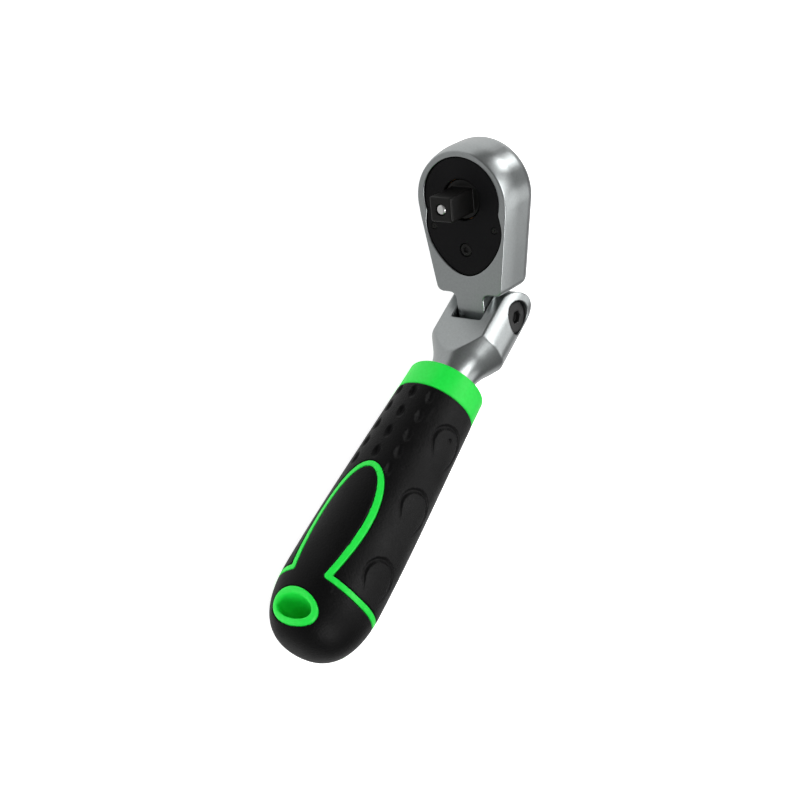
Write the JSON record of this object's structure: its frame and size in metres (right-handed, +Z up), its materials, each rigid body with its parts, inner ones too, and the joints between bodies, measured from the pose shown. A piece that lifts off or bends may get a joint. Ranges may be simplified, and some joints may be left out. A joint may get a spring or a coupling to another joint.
{
  "type": "flex-head ratchet wrench",
  "caption": "Short flex-head ratchet wrench with a pear head, a square drive that lets sockets go at a button, and a soft two-colour handle.",
  "frame": {"origin": "under the middle of the tool's box, on the flat surface that the tool lies on", "axes": "+X runs up the handle towards the head, to within 2 degrees; +Y is roughly the front, the way the square points when the head is straight; +Z is up from the surface, 8 degrees from the flex joint's axis"},
  "size_m": [0.1322, 0.056, 0.0277],
  "materials": {
    "satin_chrome": "satin chrome plate, fine bead-blasted",
    "black_cover": "black oxide, matt",
    "black_steel": "black oxide, oiled",
    "black_screw": "black oxide, satin",
    "bright_steel": "polished",
    "spring_steel": "drawn wire",
    "sintered_steel": "sintered, oiled",
    "bronze": "plain bronze",
    "seal_rubber": "smooth",
    "green_plastic": "hard moulded plastic, satin",
    "soft_grip": "soft overmould, fine matt grain"
  },
  "bodies": {
    "handle": {"fork": "satin_chrome", "pivot_screw": "black_screw", "flex_detent_ball": "bronze", "flex_detent_spring": "spring_steel", "handle_core": "green_plastic", "grip_sleeve": "soft_grip", "grip_end": "soft_grip", "hang_ring": "green_plastic"},
    "head": {"head_body": "satin_chrome", "head_cover": "black_cover", "cover_pin_left": "black_steel", "cover_pin_right": "black_steel", "thrust_washer": "bronze"},
    "drive": {"drive_gear": "black_steel", "release_spring": "spring_steel"},
    "release": {"release_pin": "bright_steel", "release_button": "black_steel"},
    "ball": {"retaining_ball": "bright_steel"},
    "lever": {"selector": "black_steel", "selector_seal": "seal_rubber", "cover_screw": "black_steel", "pawl_plunger": "spring_steel", "pawl_spring": "spring_steel"},
    "pawl": {"pawl": "sintered_steel"}
  },
  "joints": [
    {"name": "head_flex", "type": "hinge", "parent": "handle", "child": "head", "pos_m": [0.03852, -0.01487, 0.01026], "axis": [0.0314, -0.1443, 0.989], "range_deg": [-150, 30]},
    {"name": "drive_spin", "type": "hinge", "parent": "head", "child": "drive", "pos_m": [0.05471, 0.01297, 0.0138], "axis": [-0.8656, 0.4908, 0.0991], "continuous": true},
    {"name": "lever_turn", "type": "hinge", "parent": "head", "child": "lever", "pos_m": [0.0482, 0.00176, 0.01237], "axis": [-0.8656, 0.4908, 0.0991], "range_deg": [-64, 0]},
    {"name": "pawl_rock", "type": "hinge", "parent": "head", "child": "pawl", "pos_m": [0.0482, 0.00176, 0.01237], "axis": [-0.8656, 0.4908, 0.0991], "range_deg": [0, 4.5]},
    {"name": "release_press", "type": "slide", "parent": "drive", "child": "release", "axis": [-0.8656, 0.4908, 0.0991], "range_m": [0, 0.002], "stiffness_N_per_m": 600, "springref_m": -0.001, "deforming": ["release_spring"]},
    {"name": "ball_retract", "type": "slide", "parent": "drive", "child": "ball", "axis": [0.4998, 0.8592, 0.1095], "range_m": [0, 0.00052]}
  ],
  "couplings": [
    {"joint": "pawl_rock", "follows": "lever_turn", "ratio": -0.070312},
    {"joint": "ball_retract", "follows": "release_press", "ratio": 0.25}
  ]
}
